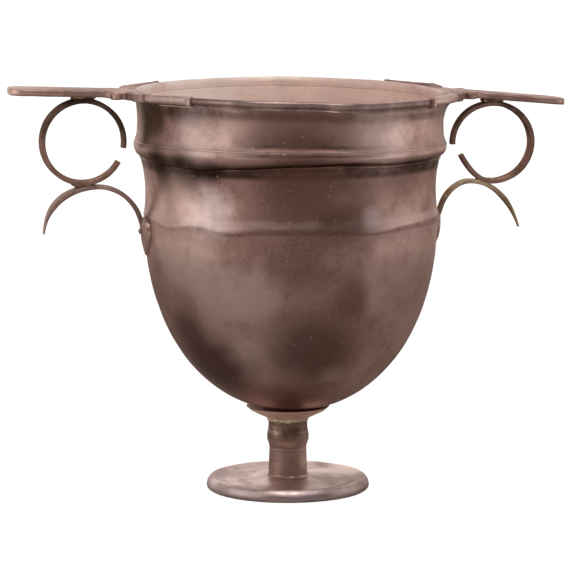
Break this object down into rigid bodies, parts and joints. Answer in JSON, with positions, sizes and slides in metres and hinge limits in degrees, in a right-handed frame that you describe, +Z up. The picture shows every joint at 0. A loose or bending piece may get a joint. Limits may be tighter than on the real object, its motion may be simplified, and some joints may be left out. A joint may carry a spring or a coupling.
{
  "type": "kantharos cup",
  "caption": "Deep two-handled drinking cup on a low stem and disc foot, with open finger rings, thumb plates and spurred struts.",
  "frame": {"origin": "centre of the foot's resting face, on the floor", "axes": "+Z up along the stem; +X towards the right handle; +Y towards the far side, so the front that the picture shows faces -Y"},
  "size_m": [0.1872, 0.104, 0.1361],
  "materials": {
    "silver": "aged silver with a brown and rose patina",
    "warm_silver": "aged silver, worn paler",
    "dark_silver": "aged silver, darkly tarnished",
    "solder": "dull hard solder"
  },
  "bodies": {
    "root": {"foot_disc": "warm_silver", "foot_solder_fillet": "solder", "stem": "dark_silver", "stem_solder_seam": "solder", "bowl_collar": "dark_silver", "bowl": "silver", "lip_moulding_front": "silver", "lip_moulding_back": "silver", "left_thumb_plate": "silver", "left_plate_solder": "solder", "left_finger_ring": "dark_silver", "left_ring_solder": "solder", "left_spur_strut": "warm_silver", "left_leaf_plate": "dark_silver", "right_thumb_plate": "silver", "right_plate_solder": "solder", "right_finger_ring": "dark_silver", "right_ring_solder": "solder", "right_spur_strut": "warm_silver", "right_leaf_plate": "dark_silver"}
  },
  "joints": []
}
